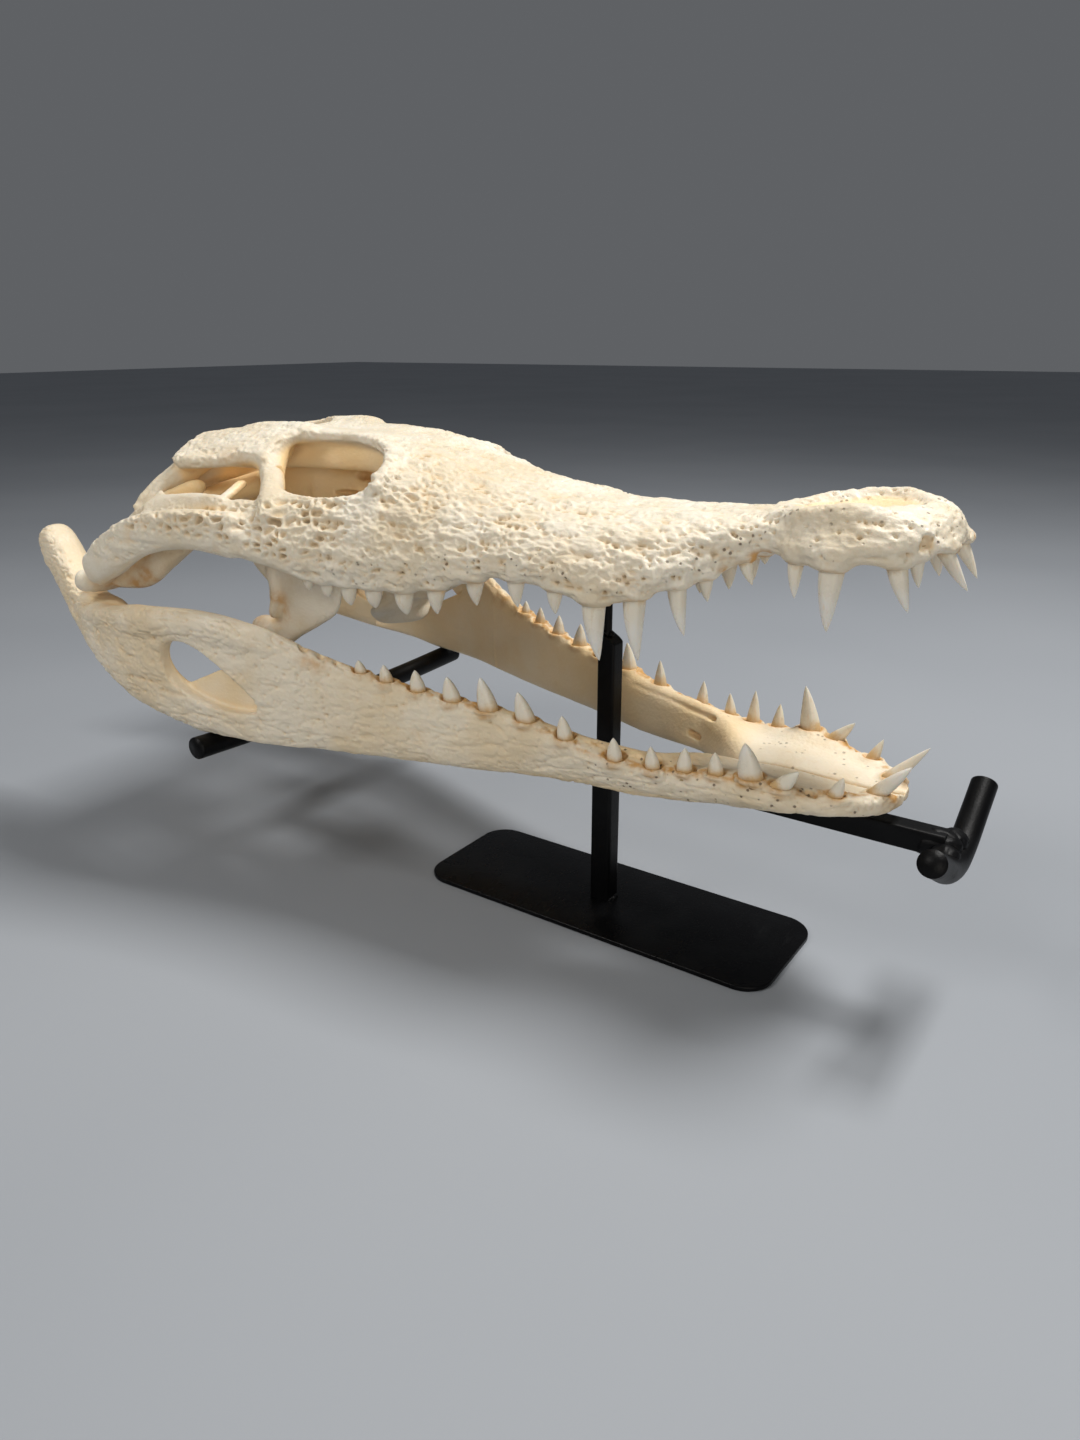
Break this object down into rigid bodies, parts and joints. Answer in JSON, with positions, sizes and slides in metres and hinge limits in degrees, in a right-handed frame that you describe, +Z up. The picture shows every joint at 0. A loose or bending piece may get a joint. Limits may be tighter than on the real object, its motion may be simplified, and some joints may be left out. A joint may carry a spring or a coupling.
{
  "type": "crocodile_skull",
  "caption": "Crocodile skull with open jaws on a black welded steel stand: flat base, square post and rod cradles",
  "frame": {"origin": "middle of the underside of the base plate, on the surface it stands on", "axes": "+Z up, +X towards the snout, +Y towards the left side of the animal"},
  "size_m": [0.3602, 0.1452, 0.1644],
  "materials": {
    "bone": "dry degreased bone, matt to slightly satin, pitted",
    "steel": "satin black paint over welded steel"
  },
  "bodies": {
    "root": {"premaxilla": "bone", "maxilla_right": "bone", "maxilla_left": "bone", "skull_roof": "bone", "jugal_right": "bone", "jugal_left": "bone", "braincase": "bone", "palate": "bone", "quadrate_right": "bone", "quadrate_left": "bone", "dentary_right": "bone", "dentary_left": "bone", "jaw_rear_right": "bone", "jaw_rear_left": "bone", "stand_base": "steel", "stand_post": "steel", "stand_upper_rod": "steel", "stand_bar_front": "steel", "stand_bar_rear": "steel", "stand_front_cradle": "steel", "stand_rear_cradle": "steel"}
  },
  "joints": []
}
